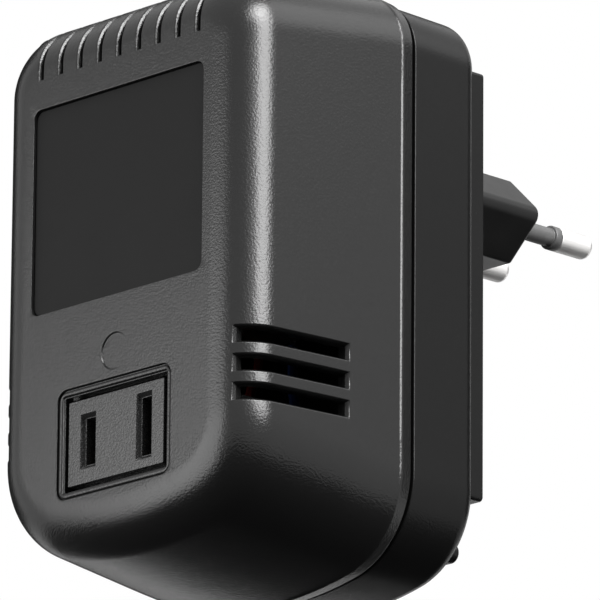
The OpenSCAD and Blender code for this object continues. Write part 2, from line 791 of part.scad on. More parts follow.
// Socket insert: nose in the casing's opening, ears on the posts and two contact chambers
module socket_block() {
    color([0.3, 0.3, 0.31]) translate([0, 0, socket_z]) difference() {
        union() {
            plate(nose_y, ear_y + eps) square([nose_w, nose_h], center = true);
            plate(nose_y + ledge_depth, ear_y + eps)
                square([nose_w + 2 * ledge_w, nose_h + 2 * ledge_w], center = true);
            plate(ear_y, ear_back_y) square([ear_w, ear_h], center = true);
            plate(ear_y, cap_y) square([body_w, body_h], center = true);
        }
        blade_slot(-1, live_slot_h);
        blade_slot(1, neutral_slot_h);
        for (x = [-1, 1]) {
            translate([x * blade_pitch / 2, 0, 0])
                plate(chamber_y, cap_y + over) square([chamber_w, chamber_h], center = true);
            bar(x * socket_screw_x, 0, small_r + fit_gap, ear_y - over, ear_back_y + over);
        }
    }
}

// One blade slot with its chamfered mouth
module blade_slot(side, h) {
    mouth_y = nose_y - eps;
    floor_y = nose_y + slot_chamfer;
    w = slot_w / 2;
    mouth_w = w + slot_chamfer + eps;
    mouth_h = h / 2 + slot_chamfer + eps;
    translate([side * blade_pitch / 2, 0, 0]) {
        plate(nose_y - over, chamber_y + over) square([slot_w, h], center = true);
        polyhedron(
            [
                [-mouth_w, mouth_y, -mouth_h], [mouth_w, mouth_y, -mouth_h],
                [mouth_w, mouth_y, mouth_h], [-mouth_w, mouth_y, mouth_h],
                [-w, floor_y, -h / 2], [w, floor_y, -h / 2], [w, floor_y, h / 2], [-w, floor_y, h / 2]
            ],
            [[3, 2, 1, 0], [4, 5, 6, 7], [5, 4, 0, 1], [6, 5, 1, 2], [7, 6, 2, 3], [4, 7, 3, 0]]
        );
    }
}

// Cap that closes the chambers behind, slit for the contacts' tails
module socket_cap() {
    color([0.25, 0.25, 0.26]) translate([0, 0, socket_z]) difference() {
        plate(cap_y, cap_back_y) square([body_w, body_h], center = true);
        for (x = [-1, 1])
            translate([x * blade_pitch / 2, 0, 0]) plate(cap_y - over, cap_back_y + over)
                square([strip_t + 2 * fit_gap, contact_tail_h + 2 * fit_gap], center = true);
    }
}

// Fixed part of a contact: base on the cap, two legs along the chamber's walls and a solder tail
module contact_clip(side) {
    color("goldenrod") translate([side * blade_pitch / 2, 0, socket_z]) {
        box([-leg_x - strip_t, base_y, -strip_h / 2], [leg_x + strip_t, cap_y, strip_h / 2]);
        for (s = [0, 1]) mirror([s, 0, 0])
            box([leg_x, leg_front_y, -strip_h / 2], [leg_x + strip_t, cap_y, strip_h / 2]);
        box(
            [-strip_t / 2, cap_y - eps, -contact_tail_h / 2],
            [strip_t / 2, cap_y + contact_tail_l, contact_tail_h / 2]
        );
    }
}
module live_contact() { contact_clip(-1); }
module neutral_contact() { contact_clip(1); }

// Sprung leaf: round root at the leg, slanting in to the grip, then flaring out to guide the blade
module contact_leaf(side, hand) {
    grip_x = grip_gap / 2;
    flare_x = grip_x + flare_out;
    root_y = leaf_axis_y;
    grip_y = root_y - leaf_l;
    tip_y = grip_y - flare_l;
    color("gold") translate([side * blade_pitch / 2, 0, socket_z - strip_h / 2]) {
        mirror([hand < 0 ? 1 : 0, 0, 0]) linear_extrude(strip_h) {
            translate([leaf_axis_x, root_y]) circle(leaf_root_r);
            polygon([
                [leaf_axis_x - leaf_root_r, root_y], [grip_x, grip_y], [flare_x, tip_y],
                [flare_x + strip_t, tip_y], [grip_x + strip_t, grip_y], [leaf_axis_x + leaf_root_r, root_y]
            ]);
        }
    }
}
module live_leaf_left() { contact_leaf(-1, -1); }
module live_leaf_right() { contact_leaf(-1, 1); }
module neutral_leaf_left() { contact_leaf(1, -1); }
module neutral_leaf_right() { contact_leaf(1, 1); }

// Lamination stacks: an E with its limbs up, and an I across them
module core_e() {
    color("slategray") plate(core_y - stack_t / 2, core_y + stack_t / 2) difference() {
        translate([-core_w / 2, core_low]) square([core_w, yoke_h + window_h]);
        for (x = [-1, 1])
            translate([x * (limb_w + window_w) / 2, window_top])
                square([window_w, 2 * window_h], center = true);
    }
}
module core_i() {
    color("slategray") plate(core_y - stack_t / 2, core_y + stack_t / 2)
        translate([-core_w / 2, window_top]) square([core_w, yoke_h]);
}

// Coil layers: a ring round the centre limb, from inner to outer build, between two heights
layers_under = [0, winding_t, winding_t + tape_t, 2 * winding_t + tape_t];
function layer_in(i) = fit_gap + bobbin_t + layers_under[i] + (i + 1) * seat_gap;
module coil_ring(inner, thick, low, high) {
    w = limb_w + 2 * inner;
    d = stack_t + 2 * inner;
    translate([0, core_y, low]) linear_extrude(high - low) difference() {
        round_rect(w + 2 * thick, d + 2 * thick, thick);
        square([w, d], center = true);
    }
}
coil_low = window_low + seat_gap + cheek_t + seat_gap;
coil_high = window_top - seat_gap - cheek_t - seat_gap;

// Bobbin: tube on the centre limb, two cheeks and the terminal rail behind the lower one
module bobbin() {
    cheek_low = window_low + seat_gap;
    cheek_top = window_top - seat_gap;
    color("ivory") difference() {
        union() {
            coil_ring(fit_gap, bobbin_t, cheek_low, cheek_top);
            for (z = [cheek_low, cheek_top - cheek_t])
                coil_ring(fit_gap, build - fit_gap, z, z + cheek_t);
            box(
                [-rail_x, coil_back_y - eps, rail_top - rail_t],
                [rail_x, coil_back_y + rail_l, rail_top]
            );
            box(
                [-rail_x, coil_back_y - build + fit_gap + bobbin_t, cheek_low],
                [rail_x, coil_back_y + eps, cheek_low + cheek_t]
            );
        }
        for (x = terminal_x)
            translate([x, rail_y, terminal_low]) cylinder(r = terminal_r + seat_gap, h = terminal_l);
    }
}
module common_winding() { color("peru") coil_ring(layer_in(0), winding_t, coil_low, coil_high); }
module layer_tape() { color("khaki") coil_ring(layer_in(1), tape_t, coil_low, coil_high); }
module series_winding() { color("peru") coil_ring(layer_in(2), winding_t, coil_low, coil_high); }
module outer_tape() { color("khaki") coil_ring(layer_in(3), tape_t, coil_low, coil_high); }

// Four posts in the bobbin's rail
module winding_terminals() {
    color("gainsboro") for (x = terminal_x)
        translate([x, rail_y, terminal_low]) cylinder(r = terminal_r, h = terminal_l);
}

// Axial thermal fuse lying on the coil's rear
module thermal_fuse() {
    half = fuse_l / 2;
    color("whitesmoke") translate([fuse_x, fuse_y, fuse_z]) rotate([0, 90, 0]) {
        translate([0, 0, -half]) cylinder(r = fuse_r, h = fuse_l);
        translate([0, 0, -half - fuse_leg_l]) cylinder(r = fuse_leg_r, h = fuse_l + 2 * fuse_leg_l);
    }
}

// Insulated leads
down = [0, 0, -1];
across = [1, 0, 0];
forward = [0, -1, 0];
module live_lead() { color("saddlebrown") lead(live_route, down, across); }
module fuse_lead() { color("saddlebrown") lead(fuse_route, across, down); }
module neutral_lead() { color("royalblue") lead(neutral_route, down, down); }
module tap_lead() { color("firebrick") lead(tap_route, down, forward); }
module common_lead() { color("royalblue") lead(common_route, down, forward); }

front_shell();
rear_shell();
rating_label();
plug_block();
live_pin();
neutral_pin();
live_pin_sleeve();
neutral_pin_sleeve();
plug_screws();
socket_block();
socket_cap();
socket_screws();
live_contact();
live_leaf_left();
live_leaf_right();
neutral_contact();
neutral_leaf_left();
neutral_leaf_right();
core_e();
core_i();
bobbin();
common_winding();
layer_tape();
series_winding();
outer_tape();
winding_terminals();
thermal_fuse();
live_lead();
fuse_lead();
neutral_lead();
tap_lead();
common_lead();
case_screws();
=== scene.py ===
from math import acos, asin, atan2, cos, pi, radians, sin, sqrt, tan

import bmesh
import bpy
from mathutils import Matrix, Vector


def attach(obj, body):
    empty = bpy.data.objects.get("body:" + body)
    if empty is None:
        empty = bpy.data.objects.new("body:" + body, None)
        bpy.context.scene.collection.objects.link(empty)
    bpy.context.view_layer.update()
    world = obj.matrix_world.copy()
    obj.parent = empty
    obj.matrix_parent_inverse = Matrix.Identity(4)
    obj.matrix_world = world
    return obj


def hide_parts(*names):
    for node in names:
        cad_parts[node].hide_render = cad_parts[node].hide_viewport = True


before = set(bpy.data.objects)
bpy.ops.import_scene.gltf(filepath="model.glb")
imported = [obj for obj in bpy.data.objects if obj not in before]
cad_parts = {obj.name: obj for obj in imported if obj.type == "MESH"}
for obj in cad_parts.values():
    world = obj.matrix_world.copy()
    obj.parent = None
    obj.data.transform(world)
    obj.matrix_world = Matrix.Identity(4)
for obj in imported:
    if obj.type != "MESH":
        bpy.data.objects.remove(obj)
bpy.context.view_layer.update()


# Transformer core: an E and an I of thin silicon-steel stampings, stacked through the depth.
# The cut edges of the stampings show as fine lines, under a coat of brown-black varnish.
class Socket:
    def __init__(self, tree, socket):
        self.tree = tree
        self.socket = socket

    def node(self, kind, settings, sockets, out=0):
        made = self.tree.nodes.new("ShaderNode" + kind)
        for name, value in settings.items():
            setattr(made, name, value)
        feed(made, sockets)
        return Socket(self.tree, made.outputs[out])

    def math(self, operation, first, second):
        return self.node("Math", {"operation": operation}, {0: first, 1: second})

    def __add__(self, other):
        return self.math("ADD", self, other)

    def __sub__(self, other):
        return self.math("SUBTRACT", self, other)

    def __rsub__(self, other):
        return self.math("SUBTRACT", other, self)

    def __mul__(self, other):
        return self.math("MULTIPLY", self, other)

    __radd__ = __add__
    __rmul__ = __mul__


def feed(node, sockets):
    for name, value in sockets.items():
        if isinstance(value, Socket):
            node.id_data.links.new(value.socket, node.inputs[name])
        else:
            node.inputs[name].default_value = value


def new_finish(name):
    material = bpy.data.materials.new(name)
    material.use_nodes = True
    tree = material.node_tree
    return material, Socket(tree, tree.nodes.new("ShaderNodeTexCoord").outputs["Object"])


def lay_on(material, sockets):
    feed(material.node_tree.nodes["Principled BSDF"], sockets)


def grey(level, warm=0.0):
    return (level * (1 + warm), level, level * (1 - warm), 1.0)


def grain(place, size_mm, detail=2.0):
    return place.node(
        "TexNoise", {}, {"Vector": place, "Scale": 1000 / size_mm, "Detail": detail, "Roughness": 0.6}
    )


def tint(factor, low, high):
    return factor.node("Mix", {"data_type": "RGBA"}, {0: factor, 6: low, 7: high}, out=2)


def relief(height, depth_mm):
    return height.node("Bump", {}, {"Height": height, "Distance": depth_mm / 1000, "Strength": 1.0})


def along(place, axis):
    return place.node("SeparateXYZ", {}, {0: place}, out=axis)


def ripple(position, pitch_mm):
    wave = position.node("Math", {"operation": "SINE"}, {0: position * (2000 * pi / pitch_mm)})
    return wave * 0.5 + 0.5


def dress(material, *nodes):
    for node in nodes:
        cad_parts[node].data.materials.clear()
        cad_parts[node].data.materials.append(material)


lamination_t = 0.5
varnished_steel, place = new_finish("varnished_steel")
edges = ripple(along(place, "Y"), lamination_t)
blotches = grain(place, 5.0)
lay_on(
    varnished_steel,
    {
        "Base Color": tint(edges * 0.6 + blotches * 0.4, grey(0.03, 0.2), grey(0.14, 0.1)),
        "Metallic": 0.6,
        "Roughness": blotches * 0.3 + 0.3,
        "Normal": relief(edges, 0.08),
    },
)
dress(varnished_steel, "core_e", "core_i")

# Bobbin: moulded in natural nylon, with the rail that carries the four terminal posts.
# The nylon is slightly translucent and carries faint flow marks.
natural_nylon, place = new_finish("natural_nylon")
flow = grain(place, 3.0)
lay_on(
    natural_nylon,
    {
        "Base Color": tint(flow, (0.62, 0.57, 0.45, 1), (0.74, 0.70, 0.58, 1)),
        "Roughness": flow * 0.2 + 0.35,
        "Normal": relief(grain(place, 0.6), 0.02),
    },
)
dress(natural_nylon, "bobbin")

# Windings: enamelled copper wire laid in rows round the bobbin, each turn against the last.
# The rows are seen as ribs one wire apart along the height, with painted shade in the grooves between turns
# and a painted highlight on their crests.
wire_t = 0.42
enamelled_copper, place = new_finish("enamelled_copper")
turn_ribs_and_shade = ripple(along(place, "Z") + grain(place, 9.0) * 0.0002, wire_t)
lay_on(
    enamelled_copper,
    {
        # Painted shade between the turns and a painted highlight on their crests, following the ribs' wave.
        "Base Color": tint(turn_ribs_and_shade, (0.20, 0.05, 0.02, 1), (0.52, 0.19, 0.07, 1)),
        "Metallic": 0.7,
        "Roughness": 0.5 - turn_ribs_and_shade * 0.2,
        "Normal": relief(turn_ribs_and_shade, 0.2),
    },
)
dress(enamelled_copper, "common_winding", "series_winding")

# Tape: polyester film wound over each winding, in overlapping strips.
# Each overlap leaves a low step, and the film has small wrinkles.
tape_strip_w = 6.5
polyester_tape, place = new_finish("polyester_tape")
wrinkles = grain(place, 2.0)
overlap = ripple(along(place, "Z"), tape_strip_w)
lay_on(
    polyester_tape,
    {
        "Base Color": tint(overlap * 0.5 + wrinkles * 0.5, (0.50, 0.36, 0.05, 1), (0.68, 0.52, 0.10, 1)),
        "Roughness": wrinkles * 0.2 + 0.2,
        "Normal": relief(overlap + wrinkles * 0.5, 0.06),
    },
)
dress(polyester_tape, "layer_tape", "outer_tape")

# Terminal posts: four lengths of tinned wire, pressed into the bobbin's rail.
# The tin is bright where it is bare and dull where it was soldered.
tinned_wire, place = new_finish("tinned_wire")
dull = grain(place, 0.8)
lay_on(
    tinned_wire,
    {
        "Base Color": tint(dull, grey(0.48), grey(0.66, 0.02)),
        "Metallic": 1.0,
        "Roughness": dull * 0.3 + 0.25,
        "Normal": relief(dull, 0.03),
    },
)
dress(tinned_wire, "winding_terminals")

# Thermal fuse: an axial one in a pale glazed sleeve, lying on the coil's rear.
# A wire end at each side carries it, soldered to one of the two brown leads.
glazed_sleeve, place = new_finish("glazed_sleeve")
glaze = grain(place, 1.5)
lay_on(
    glazed_sleeve,
    {
        "Base Color": tint(glaze, (0.66, 0.65, 0.61, 1), (0.78, 0.77, 0.73, 1)),
        "Roughness": glaze * 0.15 + 0.15,
        "Normal": relief(glaze, 0.02),
    },
)
dress(glazed_sleeve, "thermal_fuse")


# Leads: stranded copper in PVC, brown for live, blue for neutral and red for the tapped output.
# The PVC is drawn over the strands, which show through it as a faint lay.
def drawn_pvc(name, dark, light):
    material, place = new_finish(name)
    lay = grain(place, 0.7)
    lay_on(
        material,
        {
            "Base Color": tint(lay, dark, light),
            "Roughness": lay * 0.2 + 0.35,
            "Normal": relief(lay, 0.03),
        },
    )
    return material


dress(drawn_pvc("brown_pvc", (0.05, 0.018, 0.008, 1), (0.08, 0.03, 0.013, 1)), "live_lead", "fuse_lead")
dress(drawn_pvc("blue_pvc", (0.006, 0.02, 0.10, 1), (0.01, 0.035, 0.15, 1)), "neutral_lead", "common_lead")
dress(drawn_pvc("red_pvc", (0.13, 0.006, 0.005, 1), (0.19, 0.01, 0.008, 1)), "tap_lead")

# Contacts: spring brass strip, stamped and folded; each clip holds two leaves that grip a blade.
# The strip keeps fine rolling lines along its height.
spring_brass, place = new_finish("spring_brass")
stretched = place.node("Mapping", {}, {"Vector": place, "Scale": (1.0, 1.0, 0.06)})
rolling = grain(stretched, 0.15)
lay_on(
    spring_brass,
    {
        "Base Color": tint(rolling, (0.52, 0.34, 0.10, 1), (0.70, 0.49, 0.18, 1)),
        "Metallic": 1.0,
        "Roughness": rolling * 0.25 + 0.22,
        "Normal": relief(rolling, 0.01),
    },
)
dress(spring_brass, "live_contact", "live_leaf_left", "live_leaf_right")
dress(spring_brass, "neutral_contact", "neutral_leaf_left", "neutral_leaf_right")


# Socket insert: one dark moulding with a flat nose, two blade slots and the contact chambers.
# The nose has crisp edges, a deeper spark-eroded grain than the casing and a ledge round it.
# Each slot narrows steeply to a step; the screws of two ears hold the insert to the front half.
class Moulding:
    crease = radians(48)

    def __init__(self):
        self.bm = bmesh.new()

    def loop(self, points):
        return [self.bm.verts.new(Vector(point) / 1000) for point in points]

    def join(self, *loops):
        for low, high in zip(loops, loops[1:]):
            for i in range(len(low)):
                self.bm.faces.new((low[i - 1], low[i], high[i], high[i - 1]))

    def flat(self, *loops):
        edges = []
        for loop in loops:
            for a, b in zip(loop, loop[1:] + loop[:1]):
                edges.append(self.bm.edges.get((a, b)) or self.bm.edges.new((a, b)))
        bmesh.ops.triangle_fill(self.bm, use_beauty=True, edges=edges)

    def walls(self, *outlines):
        loops = [self.loop(points) for points in outlines]
        self.join(*loops)
        return loops[0], loops[-1]

    def solid(self, *outlines):
        for end in self.walls(*outlines):
            self.flat(end)

    def turned(self, x, z, profile):
        return self.walls(*[ring_at(x, z, r, y) for r, y in profile])

    def tube(self, x, z, bore, r, y0, y1):
        first, last = self.turned(x, z, [(bore, y0), (r, y0), (r, y1), (bore, y1)])
        self.join(last, first)

    def piece(self, name, material, slot, *nodes):
        bmesh.ops.recalc_face_normals(self.bm, faces=self.bm.faces)
        mesh = bpy.data.meshes.new(name)
        self.bm.to_mesh(mesh)
        self.bm.free()
        mesh.materials.append(material)
        mesh.shade_smooth()
        mesh.set_sharp_from_angle(angle=self.crease)
        made = bpy.data.objects.new(name, mesh)
        bpy.context.scene.collection.objects.link(made)
        made.modifiers.new("even_shading", "WEIGHTED_NORMAL").keep_sharp = True
        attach(made, "converter")
        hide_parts(*nodes)


def ring_at(x, z, r, y, steps=48):
    turn = [2 * pi * i / steps for i in range(steps)]
    return [Vector((x + r * cos(a), y, z + r * sin(a))) for a in turn]


def rounded(w, h, r, y, x=0.0, z=0.0, steps=8):
    points = []
    for quarter, (across, up) in enumerate([(1, 1), (-1, 1), (-1, -1), (1, -1)]):
        for i in range(steps + 1):
            a = (quarter + i / steps) * pi / 2
            points.append(
                Vector((x + across * (w / 2 - r) + r * cos(a), y, z + up * (h / 2 - r) + r * sin(a)))
            )
    return points


def soft_edge(start, corner, end, steps=3):
    return [
        [
            a * (1 - t) ** 2 + b * 2 * t * (1 - t) + c * t**2
            for a, b, c in zip(start, corner, end)
        ]
        for t in [k / steps for k in range(steps + 1)]
    ]


def spark_eroded(name, colour, size_mm, depth_mm, rough, specular):
    material, place = new_finish(name)
    pits = place.node("TexVoronoi", {}, {"Vector": place, "Scale": 1000 / size_mm})
    swell = grain(place, size_mm)
    cloud = grain(place, 22.0)
    speck = pits * 0.3 + swell * 0.7
    shade = tint(speck * 0.7 + cloud * 0.3, grey(colour * 0.72), grey(colour * 1.28))
    lay_on(
        material,
        {
            "Base Color": shade,
            "Roughness": rough - 0.05 + speck * 0.1,
            "Specular IOR Level": specular,
            "Normal": relief(speck, depth_mm),
        },
    )
    return material


face_y = -77.7
front_in_y = -75.5
socket_z = -48.8
nose_y = -77.1
nose_w = 21.6
nose_h = 13.7
nose_r = 0.2
nose_edge = 0.14
ledge_y = -74.3
ledge_grow = 1.3
ear_y = -71.5
ear_back_y = -69.1
ear_w = 36.5
ear_h = 9.0
ear_r = 0.5
ear_lap = 0.4
ear_gap = 0.02
body_w = 23.1
body_h = 14.6
chamber_y = -70.9
chamber_w = 6.4
chamber_h = 10.6
chamber_r = 0.2
cap_y = -56.1
blade_pitch = 12.7
short_slot_h = 7.6
long_slot_h = 9.4
slot_w = 2.2
slot_r = 0.1
slot_chamfer = 0.7
slot_step = 0.75
slot_edge = 0.08
mouth_draw = 0.2
insert = Moulding()
mouths, backs = [], []
for x, slot_h in [(-blade_pitch / 2, short_slot_h), (blade_pitch / 2, long_slot_h)]:
    mouth_w, mouth_h = slot_w + 2 * slot_chamfer, slot_h + 2 * slot_chamfer
    mouth_rings = [
        (mouth_w + 2 * slot_edge, mouth_h + 2 * slot_edge, slot_r, nose_y),
        (mouth_w, mouth_h, slot_r, nose_y),
        (mouth_w - slot_edge, mouth_h - slot_edge, slot_r, nose_y + slot_edge / 2),
    ]
    throat_rings = [
        (mouth_w - 2 * mouth_draw, slot_h + mouth_draw, slot_r, nose_y + slot_step),
        (slot_w, slot_h, slot_r, nose_y + slot_step),
        (slot_w, slot_h, slot_r, chamber_y),
        (chamber_w, chamber_h, chamber_r, chamber_y),
        (chamber_w, chamber_h, chamber_r, cap_y),
    ]
    mouth, back = insert.walls(
        *soft_edge(*[rounded(*ring, x, socket_z, steps=1) for ring in mouth_rings]),
        *[rounded(*ring, x, socket_z, steps=1) for ring in throat_rings],
    )
    mouths.append(mouth)
    backs.append(back)
front, back = insert.walls(
    *soft_edge(
        rounded(nose_w - 2 * nose_edge, nose_h - 2 * nose_edge, nose_r - nose_edge, nose_y, z=socket_z),
        rounded(nose_w, nose_h, nose_r, nose_y, z=socket_z),
        rounded(nose_w, nose_h, nose_r, nose_y + nose_edge, z=socket_z),
    ),
    rounded(nose_w, nose_h, nose_r, ledge_y, z=socket_z),
    rounded(nose_w + ledge_grow, nose_h + ledge_grow, nose_r, ledge_y, z=socket_z),
    rounded(nose_w + ledge_grow, nose_h + ledge_grow, nose_r, ear_y, z=socket_z),
    rounded(body_w, body_h, nose_r, ear_y, z=socket_z),
    rounded(body_w, body_h, nose_r, cap_y, z=socket_z),
)
insert.flat(front, *mouths)
insert.flat(back, *backs)
for side in (-1, 1):
    ear_x = side * (ear_w + body_w) / 4
    ear_l = (ear_w - body_w) / 2 + ear_lap
    insert.solid(
        rounded(ear_l, ear_h, ear_r, ear_y + ear_gap, ear_x, socket_z),
        rounded(ear_l, ear_h, ear_r, ear_back_y, ear_x, socket_z),
    )
deep_grain = spark_eroded("deep_grain", colour=0.012, size_mm=0.36, depth_mm=0.06, rough=0.27, specular=0.4)
insert.piece("socket_insert", deep_grain, "socket", "socket_block")
dress(deep_grain, "socket_cap")

# Front half of the casing: a deep drafted shell moulded in dark grey, with rolled front edges.
# Slots wrap its top and side edges; the face is sunk for the label, the dimple and the socket.
case_w = 59.4
case_top = 26.3
case_low = -70.9
split_y = -41.2
wall = 2.2
top_corner_r = 10.4
low_corner_r = 16.0
crown = radians(13)
side_slope = tan(radians(1.8))
end_slope = tan(radians(7.3))
edge_r = 7.2
bevel_l = 2.4
bevel_in = 0.55
vent_edge = 0.5
vent_rim = 0.14
vent_rim_share = 0.2
vent_taper = 0.68
vent_land = 0.06
vent_inset = 0.7
half_top_vents = 4
top_vent_pitch = 4.5
top_vent_w = 0.6
top_vent_low = 13.1
side_vent_h = 2.2
side_vents = (-46.2, -41.6, -37.0)
side_vent_x = 25.6
vent_back_y = -55.2
vent_lean = 0.033
below_vents = -49.0
above_vents = [-32.0, -26.0, -20.0, -14.0, -8.0, -2.0, 4.0, 9.5]
beside_top_vents = 19.6
mid_rings = (-66.0, -60.5)
rim_in = 0.4
rim_low = 0.03
low_steps = 52
corner_steps = 26
face_steps = 6
flank_steps = 10
halvings = 40


def casing_size(y, inset):
    draft = max(split_y - y, 0)
    return {
        "w": case_w / 2 - side_slope * draft - inset,
        "top": case_top - end_slope * draft - inset,
        "low": case_low + end_slope * draft + inset,
        "top_r": top_corner_r - inset,
        "low_r": low_corner_r - inset,
    }


def side_stops(y, edge):
    h = side_vent_h / 2 + edge
    drop = vent_lean * max(vent_back_y - y, 0)
    stops = [below_vents]
    for z in side_vents:
        stops += [z - drop - h, z - drop + h]
    return stops + above_vents


def top_stops(edge):
    h = top_vent_w / 2 + edge
    stops = [beside_top_vents]
    for vent in range(half_top_vents, 0, -1):
        x = vent * top_vent_pitch
        stops += [x + h, x - h, x - top_vent_pitch / 2]
    return stops + [h]


def casing_ring(y, size, edge=0.0):
    w, top, low, top_r, low_r = (size[key] for key in ("w", "top", "low", "top_r", "low_r"))
    heights, across = side_stops(y, edge), top_stops(edge)
    low_x, top_x, top_z = w - low_r, w - top_r, top - top_r
    crown_r = low_r + low_x / sin(crown)
    low_z = low + low_r + low_x * tan(crown / 2)
    crown_l, corner_l = crown_r * crown, low_r * (pi / 2 - crown)
    under_l = crown_l + corner_l + heights[0] - low_z
    half = []
    for k in range(low_steps):
        run = under_l * k / low_steps
        if run < crown_l:
            a = run / crown_r
            half.append((crown_r * sin(a), low + crown_r * (1 - cos(a))))
        elif run < crown_l + corner_l:
            a = crown + (run - crown_l) / low_r
            half.append((low_x + low_r * sin(a), low_z - low_r * cos(a)))
        else:
            half.append((w, low_z + run - crown_l - corner_l))
    half += [(w, z) for z in heights]
    straight = top_z - heights[-1]
    over_l = straight + top_r * acos(max(across[0] - top_x, 0) / top_r)
    for k in range(1, corner_steps):
        run = over_l * k / corner_steps
        if run < straight:
            half.append((w, heights[-1] + run))
        else:
            a = (run - straight) / top_r
            half.append((top_x + top_r * cos(a), top_z + top_r * sin(a)))
    half += [(x, top_z + sqrt(top_r**2 - max(x - top_x, 0) ** 2)) for x in across]
    full = half + [(-x, z) for x, z in reversed(half[1:])]
    return [Vector((x, y, z)) for x, z in full]


def rolled(y, inset, r, out, angles):
    return [(y - out * r * (1 - sin(a)), inset + r * (1 - cos(a))) for a in angles]


def vent_angle(y, inset, r, x):
    low, high = 0.0, pi / 2
    for _ in range(halvings):
        middle = (low + high) / 2
        ring_y, ring_in = rolled(y, inset, r, -1, [middle])[0]
        if casing_size(ring_y, ring_in)["w"] > x:
            low = middle
        else:
            high = middle
    return low


def spread(first, last, steps):
    return [first + (last - first) * k / steps for k in range(steps)]


def face_rim(y, size, low):
    size = dict(size, top=low)
    size["w"] -= rim_in
    size["low"] += rim_low
    size["top_r"] -= rim_in
    size["low_r"] -= rim_in
    return y, size


def front_rings(y, inset, r, edge, vent_x):
    vent_turn = vent_angle(y, inset, r, vent_x)
    if edge:
        vent_turn = vent_angle(y, inset, r, vent_x - edge * sin(vent_turn))
    angles = spread(pi / 2, vent_turn, face_steps) + spread(vent_turn, 0.0, flank_steps)
    sections = rolled(y, inset, r, -1, angles)
    sections += [(at, inset) for at in (y + r, *mid_rings, vent_back_y + edge)]
    flat_size = casing_size(*sections[0])
    rings = [casing_ring(*face_rim(y, flat_size, top_vent_low - edge), edge)]
    return rings + [casing_ring(at, casing_size(at, step), edge) for at, step in sections]


front_case = Moulding()
outer_rings = front_rings(face_y, 0.0, edge_r, vent_edge, side_vent_x)
inner_rings = front_rings(front_in_y, wall, edge_r - wall, 0.0, side_vent_x - vent_inset)
outer = [front_case.loop(ring) for ring in outer_rings]
inner = [front_case.loop(ring) for ring in inner_rings]
count = len(outer[0])
last_ring = len(outer) - 1
side_ring = 1 + face_steps
side_cells = [low_steps + 1 + 2 * i for i in range(len(side_vents))]
first_top = low_steps + len(side_stops(face_y, 0)) + corner_steps - 1
top_cells = [first_top + 1 + 3 * i for i in range(half_top_vents + 1)]
vents = {}
for cell in side_cells:
    vents[cell] = side_ring
for cell in top_cells:
    vents[cell] = 0
for cell in list(vents):
    vents[count - cell - 1] = vents[cell]
for rings in (outer, inner):
    for k in range(last_ring):
        for i in range(count):
            if i not in vents or k < vents[i]:
                j = (i + 1) % count
                front_case.bm.faces.new((rings[k][i], rings[k][j], rings[k + 1][j], rings[k + 1][i]))
for cell, first in vents.items():
    spots = [(k, cell, (cell + 1) % count) for k in range(first, last_ring + 1)]
    spots += [(k, far, near) for k, near, far in reversed(spots)]
    start, corner, slope, end, deep = [], [], [], [], []
    for k, here, there in spots:
        point = outer[k][here].co * 1000
        turn = (outer[k][there].co * 1000 - point).normalized()
        if k in (first, last_ring):
            beside = outer[k + (1 if k == first else -1)][here].co * 1000
            turn = turn + (beside - point).normalized()
        throat_edge = point + turn * vent_edge
        sink = (inner[k][here].co * 1000 - throat_edge).normalized()
        start.append(point)
        corner.append(point + turn * vent_rim)
        end.append(throat_edge + sink * vent_taper)
        slope.append(corner[-1].lerp(end[-1], vent_rim_share))
        deep.append(end[-1] + sink * vent_land)
    rim = [front_case.loop(points) for points in soft_edge(start, corner, slope)[1:] + [end, deep]]
    mouth = [outer[k][here] for k, here, there in spots]
    throat = [inner[k][here] for k, here, there in spots]
    front_case.join(mouth, *rim, throat)

bevel_edge = 0.3
rim_edge = 0.15
draw_start_y = -52.0
draw_start_in = 0.02
draw_middle_y = -48.0
band_in = 0.15
band_l = 0.4
band_step = Vector((0.06, 0.0))
band_share = 0.65
bevel_y = split_y - bevel_l
bevel_step = Vector((bevel_l, bevel_in)).normalized()
bevel_start = Vector((bevel_y, 0.0))
bevel_end = Vector((split_y, bevel_in))
band_foot = Vector((bevel_y - band_l, band_in))
band_edge = bevel_start - band_step
band_top = band_foot.lerp(band_edge, band_share)
sections = [
    Vector((draw_start_y, draw_start_in)),
    Vector((draw_middle_y, band_in / 2)),
    band_foot - band_step,
    band_foot,
]
for rounding in (
    soft_edge([band_top], [band_edge], [bevel_start + bevel_step * bevel_edge]),
    soft_edge([bevel_end - bevel_step * rim_edge], [bevel_end], [bevel_end + Vector((0, rim_edge))]),
    soft_edge(
        [Vector((split_y, wall - rim_edge))],
        [Vector((split_y, wall))],
        [Vector((split_y - rim_edge, wall))],
    ),
):
    sections += [points[0] for points in rounding]
skirt = [front_case.loop(casing_ring(y, casing_size(y, inset))) for y, inset in sections]
front_case.join(outer[-1], *skirt, inner[-1])

recess_edge = 0.15
recess_foot = 0.2


def recess(w, h, r, depth, z):
    floor_y = face_y + depth
    return front_case.walls(
        *soft_edge(
            rounded(w + 2 * recess_edge, h + 2 * recess_edge, r + recess_edge, face_y, z=z),
            rounded(w, h, r, face_y, z=z),
            rounded(w, h, r, face_y + recess_edge, z=z),
        ),
        *soft_edge(
            rounded(w, h, r, floor_y - recess_foot, z=z),
            rounded(w, h, r, floor_y, z=z),
            rounded(w - 2 * recess_foot, h - 2 * recess_foot, r - recess_foot, floor_y, z=z),
        ),
    )


